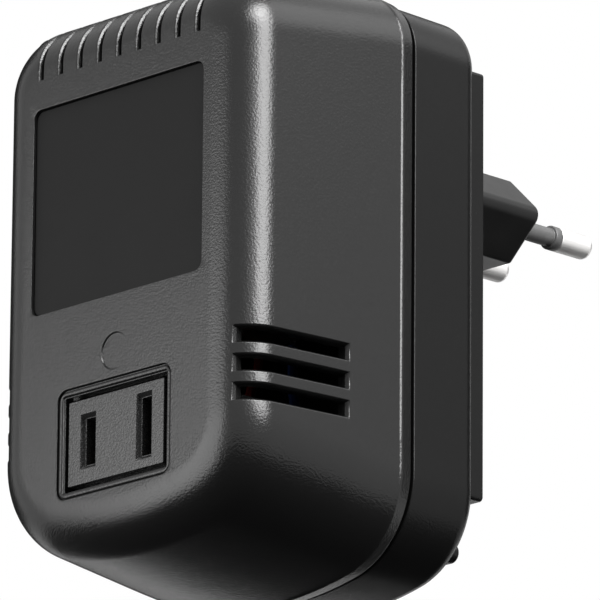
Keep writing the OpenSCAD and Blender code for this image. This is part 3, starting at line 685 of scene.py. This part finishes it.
label_w = 38.9
label_h = 34.1
label_r = 1.6
label_z = -9.25
label_depth = 0.9
dimple_r = 3.05
dimple_z = -35.6
dimple_depth = 0.3
dimple_edge = 0.06
dimple_draft = 0.14
dimple_foot = 0.03
opening_w = 23.2
opening_h = 15.3
opening_r = 0.25
frame_w = 25.8
frame_h = 17.9
frame_r = 2.0
frame_depth = 0.6
frame_edge = 0.16
bead_rise = 0.42
bead_steps = 10
label_rim, label_floor = recess(label_w, label_h, label_r, label_depth, label_z)
front_case.flat(label_floor)
dimple_floor_y = face_y + dimple_depth
dimple_rim, dimple_floor = front_case.walls(
    *soft_edge(
        ring_at(0, dimple_z, dimple_r + dimple_edge, face_y),
        ring_at(0, dimple_z, dimple_r, face_y),
        ring_at(0, dimple_z, dimple_r - dimple_foot, face_y + dimple_edge),
    ),
    *soft_edge(
        ring_at(0, dimple_z, dimple_r - dimple_draft, dimple_floor_y - dimple_foot),
        ring_at(0, dimple_z, dimple_r - dimple_draft - dimple_foot / 2, dimple_floor_y),
        ring_at(0, dimple_z, dimple_r - dimple_draft - 2 * dimple_foot, dimple_floor_y),
    ),
)
front_case.flat(dimple_floor)
frame_rim, frame_floor = recess(frame_w, frame_h, frame_r, frame_depth, socket_z)
frame_y = face_y + frame_depth
lip, throat = front_case.walls(
    *soft_edge(
        rounded(opening_w + 2 * frame_edge, opening_h + 2 * frame_edge, opening_r, frame_y, z=socket_z),
        rounded(opening_w, opening_h, opening_r, frame_y, z=socket_z),
        rounded(opening_w, opening_h, opening_r, frame_y + frame_edge, z=socket_z),
    ),
    rounded(opening_w, opening_h, opening_r, front_in_y, z=socket_z),
)
bead_in = (frame_w - opening_w) / 2 - recess_foot - frame_edge
bead = []
for turn in [k * pi / bead_steps for k in range(1, bead_steps)]:
    step = bead_in * (1 - cos(turn))
    grow = 2 * recess_foot + step
    bead_r = (frame_r - recess_foot) + (opening_r - frame_r + recess_foot) * (1 - cos(turn)) / 2
    bead_y = frame_y - bead_rise * sin(turn)
    bead.append(front_case.loop(rounded(frame_w - grow, frame_h - grow, bead_r, bead_y, z=socket_z)))
front_case.join(frame_floor, *bead, lip)
front_case.flat(outer[0], label_rim, dimple_rim, frame_rim)
front_case.flat(inner[0], throat)

top_post = (21.8, 18.5)
low_post = (19.5, -57.55)
screw_bore_r = 1.55
screw_post_r = 3.0
screw_post_gap = 2.6
core_post_x = 20.0
core_post_heights = (-24.0, 8.0)
core_bore_r = 0.6
core_post_r = 2.4
core_front_y = -66.0
socket_post_x = 15.55
socket_bore_r = 1.15
socket_post_r = 2.7
post_lap = 0.1
screw_posts = [(side * x, z) for x, z in (top_post, low_post) for side in (1, -1)]
core_posts = [(side * core_post_x, z) for side in (-1, 1) for z in core_post_heights]
for x, z in screw_posts:
    front_case.tube(x, z, screw_bore_r, screw_post_r, front_in_y + screw_post_gap, split_y)
for x, z in core_posts:
    front_case.tube(x, z, core_bore_r, core_post_r, front_in_y - post_lap, core_front_y)
for x in (-socket_post_x, socket_post_x):
    front_case.tube(x, socket_z, socket_bore_r, socket_post_r, front_in_y - post_lap, ear_y)
casing_grain = spark_eroded(
    "casing_grain", colour=0.0055, size_mm=0.36, depth_mm=0.055, rough=0.23, specular=0.35
)
front_case.piece("front_case", casing_grain, "casing", "front_shell")

# Label: a plain plastic film, left bare, stuck to the floor of its recess.
# It is matt and nearly black, with the faint tooth of the film.
label_plate = Moulding()
label_floor_y = face_y + label_depth
film_t = 0.3
label_face_y = label_floor_y - film_t
label_fit = 0.15
film_w, film_h, film_r = label_w - 2 * label_fit, label_h - 2 * label_fit, label_r - label_fit
film_edge = 0.08
label_plate.solid(
    rounded(film_w, film_h, film_r, label_floor_y, z=label_z),
    *soft_edge(
        rounded(film_w, film_h, film_r, label_face_y + film_edge, z=label_z),
        rounded(film_w, film_h, film_r, label_face_y, z=label_z),
        rounded(
            film_w - 2 * film_edge, film_h - 2 * film_edge, film_r - film_edge, label_face_y, z=label_z
        ),
    ),
)
matt_film, place = new_finish("matt_film")
tooth = grain(place, 0.18)
scuffs = grain(place, 7.0, detail=4.0)
lay_on(
    matt_film,
    {
        "Base Color": tint(scuffs * 0.6 + tooth * 0.4, grey(0.004), grey(0.008)),
        "Roughness": scuffs * 0.15 + 0.5,
        "Specular IOR Level": 0.1,
        "Normal": relief(tooth, 0.012),
    },
)
label_plate.piece("label_film", matt_film, "label", "rating_label")


# Plug block: a six-sided block moulded in smooth black, held from inside by a screwed flange.
# Its slanted faces meet the flat top and underside at a crisp edge; its two sides are rounded.
def plug_outline(y, grow=0.0, steps=7):
    side = Vector((15.3, 0.0))
    corner = Vector((11.0, 7.0))
    reach = side - corner
    side_r, crisp_r = 2.0, 0.9
    slant = atan2(reach.y, reach.x) + asin(side_r / reach.length) + pi / 2
    bisector = Vector((cos(slant), sin(slant) + 1.0)) / (1 + sin(slant))
    middle = corner - bisector * crisp_r
    points = []
    spans = [
        (side, side_r, -slant, slant),
        (middle, crisp_r, slant, pi / 2),
        (Vector((-middle.x, middle.y)), crisp_r, pi / 2, pi - slant),
        (-side, side_r, pi - slant, pi + slant),
        (-middle, crisp_r, pi + slant, 1.5 * pi),
        (Vector((middle.x, -middle.y)), crisp_r, 1.5 * pi, 2 * pi - slant),
    ]
    for centre, r, first, last in spans:
        for k in range(steps + 1):
            a = first + (last - first) * k / steps
            points.append(Vector((centre.x + (r + grow) * cos(a), y, centre.y + (r + grow) * sin(a))))
    return points


pin_x = 9.5
flange_y = -29.9
flange_grow = 2.0
flange_gap = 0.05
strap_w = 49.4
strap_h = 6.4
strap_r = 3.1
back_in_y = -27.5
sleeve_root_y = -3.0
bore_r = 1.6
bore_edge = 0.15
shank_bore_r = 1.2
block_edge = 0.6
plug = Moulding()
root, end_face = plug.walls(
    plug_outline(flange_y, flange_grow),
    plug_outline(back_in_y - flange_gap, flange_grow),
    plug_outline(back_in_y - flange_gap),
    *soft_edge(plug_outline(-block_edge), plug_outline(0.0), plug_outline(0.0, -block_edge), steps=5),
)
bores = []
for x in (-pin_x, pin_x):
    bores.append(
        plug.walls(
            *soft_edge(
                ring_at(x, 0, bore_r + bore_edge, 0.0),
                ring_at(x, 0, bore_r, 0.0),
                ring_at(x, 0, bore_r, -bore_edge),
            ),
            ring_at(x, 0, bore_r, sleeve_root_y),
            ring_at(x, 0, shank_bore_r, sleeve_root_y),
            ring_at(x, 0, shank_bore_r, flange_y),
        )
    )
plug.flat(end_face, *[mouth for mouth, tail in bores])
plug.flat(root, *[tail for mouth, tail in bores])
plug.solid(
    rounded(strap_w, strap_h, strap_r, flange_y + flange_gap),
    rounded(strap_w, strap_h, strap_r, back_in_y - 2 * flange_gap),
)
polished_black, place = new_finish("polished_black")
haze = grain(place, 6.0, detail=4.0)
swirl = grain(place, 0.5)
lay_on(
    polished_black,
    {
        "Base Color": tint(haze, grey(0.004), grey(0.008)),
        "Roughness": haze * 0.15 + 0.24,
        "Specular IOR Level": 0.17,
        "Normal": relief(swirl, 0.006),
    },
)
plug.piece("plug_body", polished_black, "plug", "plug_block")

# Pin sleeves: hard dark grey plastic moulded on the shank of each pin, thin along its length.
# Each ends in a collar as thick as the bare tip.
sleeve_r = 1.55
collar_y = 10.1
tip_y = 11.6
pin_r = 2.0
collar_edge = 0.18
collar_root = [(0.0, -0.12), (0.05, -0.03), (0.14, 0.0)]
collar_round = [(1.0, 0.0), (0.3, 0.3), (0.0, 1.0)]
collar_end = [(0.0, -0.1), (-0.03, -0.03), (-0.1, 0.0)]
satin_grey, place = new_finish("satin_grey")
draw = grain(place, 0.9)
lay_on(
    satin_grey,
    {
        "Base Color": tint(draw, grey(0.045), grey(0.07)),
        "Roughness": draw * 0.2 + 0.32,
        "Specular IOR Level": 0.4,
        "Normal": relief(draw, 0.008),
    },
)
for name, x in (("live_pin_sleeve", -pin_x), ("neutral_pin_sleeve", pin_x)):
    sleeve = Moulding()
    first, last = sleeve.turned(
        x,
        0,
        [
            (shank_bore_r, sleeve_root_y),
            (sleeve_r, sleeve_root_y),
            *[(sleeve_r + out, collar_y + back) for out, back in collar_root],
            *[(pin_r - out * collar_edge, collar_y + back * collar_edge) for out, back in collar_round],
            *[(pin_r + out, tip_y + back) for out, back in collar_end],
            (shank_bore_r, tip_y),
        ],
    )
    sleeve.join(last, first)
    sleeve.piece(name + "_moulding", satin_grey, "sleeve", name)

# Pins: turned brass, nickel plated, with a full-size bare tip and a flat solder tail inside.
# Turning leaves faint rings round the tip, and handling leaves light scratches along it.
shank_r = 1.15
tip_gap = 0.02
tip_start = [(-0.15, 0.02), (-0.04, 0.06), (0.0, 0.17)]
tip_round = 1.0
tip_steps = 8
tip_flat = 0.5
pin_end_y = 19.0
tail_w = 1.9
tail_t = 1.2
tail_r = 0.2
tail_l = 3.6
tail_lap = 0.2
nickel, place = new_finish("nickel")
rings = place.node("Mapping", {}, {"Vector": place, "Scale": (0.05, 1.0, 0.05)})
turning = grain(rings, 0.12)
scratch = place.node("Mapping", {}, {"Vector": place, "Scale": (1.0, 0.05, 1.0)})
wear = grain(scratch, 0.35)
lay_on(
    nickel,
    {
        "Base Color": tint(wear, grey(0.70, 0.01), grey(0.86, 0.015)),
        "Metallic": 1.0,
        "Roughness": wear * 0.16 + turning * 0.1 + 0.3,
        "Normal": relief(turning + wear * 0.5, 0.004),
    },
)
for name, x in (("live_pin", -pin_x), ("neutral_pin", pin_x)):
    pin = Moulding()
    tip_end = [
        (pin_r - tip_round * (1 - cos(a)), pin_end_y - tip_round * (1 - sin(a)))
        for a in [k * pi / (2 * tip_steps) for k in range(tip_steps + 1)]
    ]
    for end in pin.turned(
        x,
        0,
        [
            (shank_r, flange_y),
            (shank_r, tip_y + tip_gap),
            *[(pin_r + out, tip_y + back) for out, back in tip_start],
            *tip_end,
            (pin_r - tip_round - tip_flat, pin_end_y),
        ],
    ):
        pin.flat(end)
    pin.solid(
        rounded(tail_w, tail_t, tail_r, flange_y - tail_l, x),
        rounded(tail_w, tail_t, tail_r, flange_y + tail_lap, x),
    )
    pin.piece(name + "_turned", nickel, "pin", name)

# Rear half of the casing: a shallow shell moulded in the same plastic, set in a little from the front.
# Its raised pad carries the plug window; four wells take the casing screws, and a bar is its foot.
rear_y = -40.1
back_y = -25.3
pad_y = -22.8
rear_in = 1.0
back_in = 1.1665
back_edge_r = 3.1
flat_turn = radians(81)
back_steps = 12
draft_y = -36.0
draft_in = 1.05
well_r = 2.75
well_edge = 0.18
well_round = [(1.0, 0.0), (0.3, 0.25), (0.0, 1.0)]
well_floor_y = -29.6
screw_hole_r = 1.65
post_r = 3.7
window_fit = 0.15
window_edge = 0.15
rear_case = Moulding()
angles = [flat_turn * k / back_steps for k in range(back_steps + 1)]
rear_rim = 0.25
rear_corner = Vector((rear_y, rear_in))
rear_round = soft_edge(
    [rear_corner + Vector((0, rear_rim))], [rear_corner], [rear_corner + Vector((rear_rim, 0))]
)
sections = [points[0] for points in rear_round]
sections += [(draft_y, draft_in)] + rolled(back_y, back_in, back_edge_r, 1, angles)
outside = [rear_case.loop(casing_ring(y, casing_size(y, inset))) for y, inset in sections]
skin = 1.8
inner_sections = [(back_in_y, back_in + skin), (rear_y, rear_in + skin)]
inside = [rear_case.loop(casing_ring(y, casing_size(y, inset))) for y, inset in inner_sections]
rear_case.join(*inside, *outside)
wells = []
for x, z in screw_posts:
    mouth, bottom = rear_case.turned(
        x,
        z,
        [
            *[(well_r + out * well_edge, back_y - down * well_edge) for out, down in well_round],
            (well_r, well_floor_y),
            (screw_hole_r, well_floor_y),
            (screw_hole_r, split_y),
            (post_r, split_y),
            (post_r, back_in_y),
        ],
    )
    wells.append((mouth, bottom))
window_back, window_front = rear_case.walls(
    plug_outline(back_in_y, window_fit), plug_outline(back_y, window_fit)
)
rear_case.flat(outside[-1], window_front, *[mouth for mouth, bottom in wells])
rear_case.flat(inside[0], window_back, *[bottom for mouth, bottom in wells])
pad_w = 53.9
pad_h = 70.9
pad_r = 0.7
pad_z = -18.95
pad_edge = 0.2
pad_root = 0.8
pad_foot_y = back_y - pad_root


def pad_outline(y, shrink=0.0, steps=10):
    points = rounded(pad_w - 2 * shrink, pad_h - 2 * shrink, pad_r - shrink, y, z=pad_z)
    half = len(points) // 4
    bites = []
    for x, z in screw_posts[:2]:
        bite_r = well_r + well_edge + shrink
        start = asin((z - pad_z - pad_h / 2 + shrink) / bite_r)
        for k in range(steps + 1):
            a = start + (pi - 2 * start) * k / steps
            bites.append(Vector((x + bite_r * cos(a), y, z - bite_r * sin(a))))
    return points[:half] + bites + points[half:]


pad_foot, pad_top = rear_case.walls(
    pad_outline(pad_foot_y),
    *soft_edge(pad_outline(pad_y - pad_edge), pad_outline(pad_y), pad_outline(pad_y, pad_edge)),
)
pad_window_foot, pad_window = rear_case.walls(
    plug_outline(pad_foot_y, window_fit),
    *soft_edge(
        plug_outline(pad_y - window_edge, window_fit),
        plug_outline(pad_y, window_fit),
        plug_outline(pad_y, window_fit + window_edge),
    ),
)
rear_case.flat(pad_top, pad_window)
rear_case.flat(pad_foot, pad_window_foot)
foot_w = 46.5
foot_h = 3.2
foot_r = 1.59
foot_z = -62.3
foot_root = 1.5
foot_rise = 1.0
foot_edge = 0.35
foot_y = back_y + foot_rise
rear_case.solid(
    rounded(foot_w, foot_h, foot_r, back_y - foot_root, z=foot_z),
    *soft_edge(
        rounded(foot_w, foot_h, foot_r, foot_y - foot_edge, z=foot_z),
        rounded(foot_w, foot_h, foot_r, foot_y, z=foot_z),
        rounded(foot_w - 2 * foot_edge, foot_h - 2 * foot_edge, foot_r - foot_edge, foot_y, z=foot_z),
    ),
)
lip_gap = 0.15
lip_t = 1.0
lip_l = 2.0
lip_edge = 0.1
lip_root = 0.9
lip_in = wall + lip_gap
lip_y = split_y - lip_l
lip_sections = [
    (lip_y, lip_in + lip_t),
    (lip_y, lip_in + lip_edge),
    (lip_y + lip_edge, lip_in),
    (rear_y + lip_root, lip_in),
    (rear_y + lip_root, lip_in + lip_t),
]
rim = [rear_case.loop(casing_ring(y, casing_size(y, inset))) for y, inset in lip_sections]
rear_case.join(*rim, rim[0])
core_rear_y = -46.0
for x, z in core_posts:
    rear_case.tube(x, z, core_bore_r, core_post_r, core_rear_y, back_in_y + post_lap)
# Its plastic is set a little darker and less glossy than the front half's.
rear_grain = spark_eroded(
    "rear_grain", colour=0.004, size_mm=0.34, depth_mm=0.04, rough=0.25, specular=0.14
)
rear_case.piece("rear_case", rear_grain, "casing", "rear_shell")

# Casing screws: zinc-plated steel, with round heads and cross recesses, sunk in the rear wells.
# The smaller screws of the plug and the socket have the same plating.
bright_zinc, place = new_finish("bright_zinc")
plating = grain(place, 0.5, detail=3.0)
lay_on(
    bright_zinc,
    {
        "Base Color": tint(plating, (0.44, 0.45, 0.46, 1), (0.62, 0.62, 0.60, 1)),
        "Metallic": 1.0,
        "Roughness": plating * 0.25 + 0.25,
        "Normal": relief(plating, 0.012),
    },
)
screw_r = 1.5
screw_l = 20.0
point_r = 0.3
point_l = 1.5
head_r = 2.6
head_h = 1.8
head_rim = 0.2
head_edge = 0.15
seat_gap = 0.02
dome_h = 1.2
dome_fit = 0.999
dome_turns = (42, 54, 66, 78, 90)
cross_l = 1.45
cross_w = 0.38
cross_depth = 1.1
cross_floor_l = 0.5 * cross_l
cross_floor_w = 0.8 * cross_w


def cross(x, z, y, reach, half):
    arm = [(reach, -half), (reach, half), (half, half)]
    points = []
    for quarter in range(4):
        c, s = cos(quarter * pi / 2), sin(quarter * pi / 2)
        points += [Vector((x + a * c - b * s, y, z + a * s + b * c)) for a, b in arm]
    return points


screws = Moulding()
for x, z in screw_posts:
    head_y = well_floor_y + head_h
    dome = [
        (head_r * sin(a) * dome_fit, head_y - dome_h * (1 - cos(a)))
        for a in [radians(turn) for turn in dome_turns]
    ]
    crest, tip = screws.turned(
        x,
        z,
        [
            *dome,
            (head_r, well_floor_y + head_rim),
            (head_r - head_edge, well_floor_y + seat_gap),
            (screw_r, well_floor_y + seat_gap),
            (screw_r, well_floor_y - screw_l + point_l),
            (point_r, well_floor_y - screw_l),
        ],
    )
    screws.flat(tip)
    crest_y = dome[0][1]
    slot_mouth, slot_floor = screws.walls(
        cross(x, z, crest_y, cross_l, cross_w),
        cross(x, z, crest_y - cross_depth, cross_floor_l, cross_floor_w),
    )
    screws.flat(crest, slot_mouth)
    screws.flat(slot_floor)
screws.piece("casing_screws", bright_zinc, "screw", "case_screws")
dress(bright_zinc, "plug_screws", "socket_screws")


# Stage: a pale floor with painted light, glowing more with distance, open to a camera below it, in a white
# surround.
# Black cloths out of the camera's sight are mirrored as the dark parts of the casing.
# Three lamps on the right light the rolled edge and its corner, a broad one the face, one the top.
def card(name, corners, material):
    mesh = bpy.data.meshes.new(name)
    mesh.from_pydata(corners, [], [(0, 1, 2, 3)])
    mesh.materials.append(material)
    made = bpy.data.objects.new(name, mesh)
    bpy.context.scene.collection.objects.link(made)
    made.visible_shadow = False
    return made


pale_card, place = new_finish("pale_card")
tree = pale_card.node_tree
flecks = grain(place, 4.0)
# Painted light: the floor glows, dim near the object and brighter far from it.
near_floor = 0.12
far_floor = 0.75
reach = place.node("VectorMath", {"operation": "LENGTH"}, {0: place}, out=1)
far = reach.node("MapRange", {}, {"Value": reach, "From Min": near_floor, "From Max": far_floor})
lay_on(
    pale_card,
    {
        "Base Color": tint(flecks, grey(0.86), grey(0.9)),
        "Roughness": 0.8,
        "Emission Color": tint(far, grey(0.25), grey(0.68)),
        "Emission Strength": 1.0,
    },
)
from_below = Socket(tree, tree.nodes.new("ShaderNodeNewGeometry").outputs["Backfacing"])
face = Socket(tree, tree.nodes["Principled BSDF"].outputs[0])
clear = face.node("BsdfTransparent", {}, {})
shown = face.node("MixShader", {}, {0: from_below, 1: face, 2: clear})
feed(tree.nodes["Material Output"], {"Surface": shown})
floor_half = 15.0
floor_gap = 0.0002
floor_z = case_low / 1000 - floor_gap
floor_signs = ((-1, -1), (1, -1), (1, 1), (-1, 1))
floor_corners = [(x * floor_half, y * floor_half, floor_z) for x, y in floor_signs]
floor = card("floor", floor_corners, pale_card)
floor.visible_diffuse = False
floor.visible_glossy = False
floor.visible_transmission = False

black_cloth, place = new_finish("black_cloth")
nap = grain(place, 8.0)
lay_on(black_cloth, {"Base Color": tint(nap, grey(0.002), grey(0.004)), "Roughness": 0.9})


def hung(start, end, low, high):
    return [(*start, low), (*end, low), (*end, high), (*start, high)]


low_flag_z = -0.35
flag_foot_z = -0.12
flags = {
    "low_flag": [(x, y, low_flag_z) for x, y in ((-0.75, -0.9), (0.6, -0.9), (0.6, 0.54), (-0.75, 0.54))],
    "back_flag": hung((-0.34, 0.73), (-0.79, -0.14), flag_foot_z, 0.6),
    "slim_flag": hung((0.43, 0.64), (-0.03, 0.77), flag_foot_z, 0.34),
}
for name, corners in flags.items():
    card(name, corners, black_cloth).visible_camera = False

world = bpy.data.worlds.new("white_surround")
bpy.context.scene.world = world
world.use_nodes = True
rays = world.node_tree.nodes.new("ShaderNodeLightPath").outputs
seen, mirrored, through = (
    Socket(world.node_tree, rays[name])
    for name in ("Is Camera Ray", "Is Glossy Ray", "Is Transmission Ray")
)
direct = seen.math("MAXIMUM", seen, mirrored.math("MAXIMUM", mirrored, through))
surround_level = 0.4
feed(
    world.node_tree.nodes["Background"],
    {"Color": (1.0, 1.0, 1.0, 1.0), "Strength": direct * (1 - surround_level) + surround_level},
)


def lamp(name, place, aim, size, glow):
    light = bpy.data.lights.new(name, "AREA")
    light.shape = "RECTANGLE"
    light.size, light.size_y = size
    light.energy = glow * pi * size[0] * size[1]
    made = bpy.data.objects.new(name, light)
    made.location = place
    made.rotation_mode = "QUATERNION"
    made.rotation_quaternion = (Vector(aim) - Vector(place)).to_track_quat("-Z", "Y")
    made.visible_camera = False
    bpy.context.scene.collection.objects.link(made)


lamp("edge_lamp", (0.381, -0.064, 0.224), (0.036, -0.069, -0.016), (0.24, 0.46), 17.5)
lamp("edge_fill", (0.42, -0.22, 0.26), (0.025, -0.07, 0.0), (0.22, 0.46), 2.2)
lamp("corner_lamp", (0.331, -0.171, 0.333), (0.028, -0.073, 0.015), (0.26, 0.13), 10.0)
lamp("face_lamp", (-0.185, -0.545, -0.1), (0.0, -0.078, -0.045), (0.5, 0.47), 4.6)
lamp("top_lamp", (0.3, 0.22, 0.36), (0.02, -0.05, 0.01), (0.3, 0.3), 1.7)

# Camera: far off on the right and low, with a long lens, fitted to the photograph's view.
# It is turned a little about its own line of sight.
camera_data = bpy.data.cameras.new("camera")
camera_data.lens = 510.0
camera_data.sensor_width = 36.0
camera_data.clip_end = 20.0
camera = bpy.data.objects.new("camera", camera_data)
stand = Vector((0.9322, -0.9479, -0.4038))
target = Vector((0.00774, -0.04477, -0.02198))
ahead = (target - stand).normalized()
level = ahead.cross(Vector((0, 0, 1))).normalized()
upright = level.cross(ahead)
roll = radians(0.467)
right = level * cos(roll) + upright * sin(roll)
up = upright * cos(roll) - level * sin(roll)
camera.matrix_world = Matrix.Translation(stand) @ Matrix((right, up, -ahead)).transposed().to_4x4()
bpy.context.scene.collection.objects.link(camera)
bpy.context.scene.camera = camera
bpy.context.scene.view_settings.view_transform = "Standard"
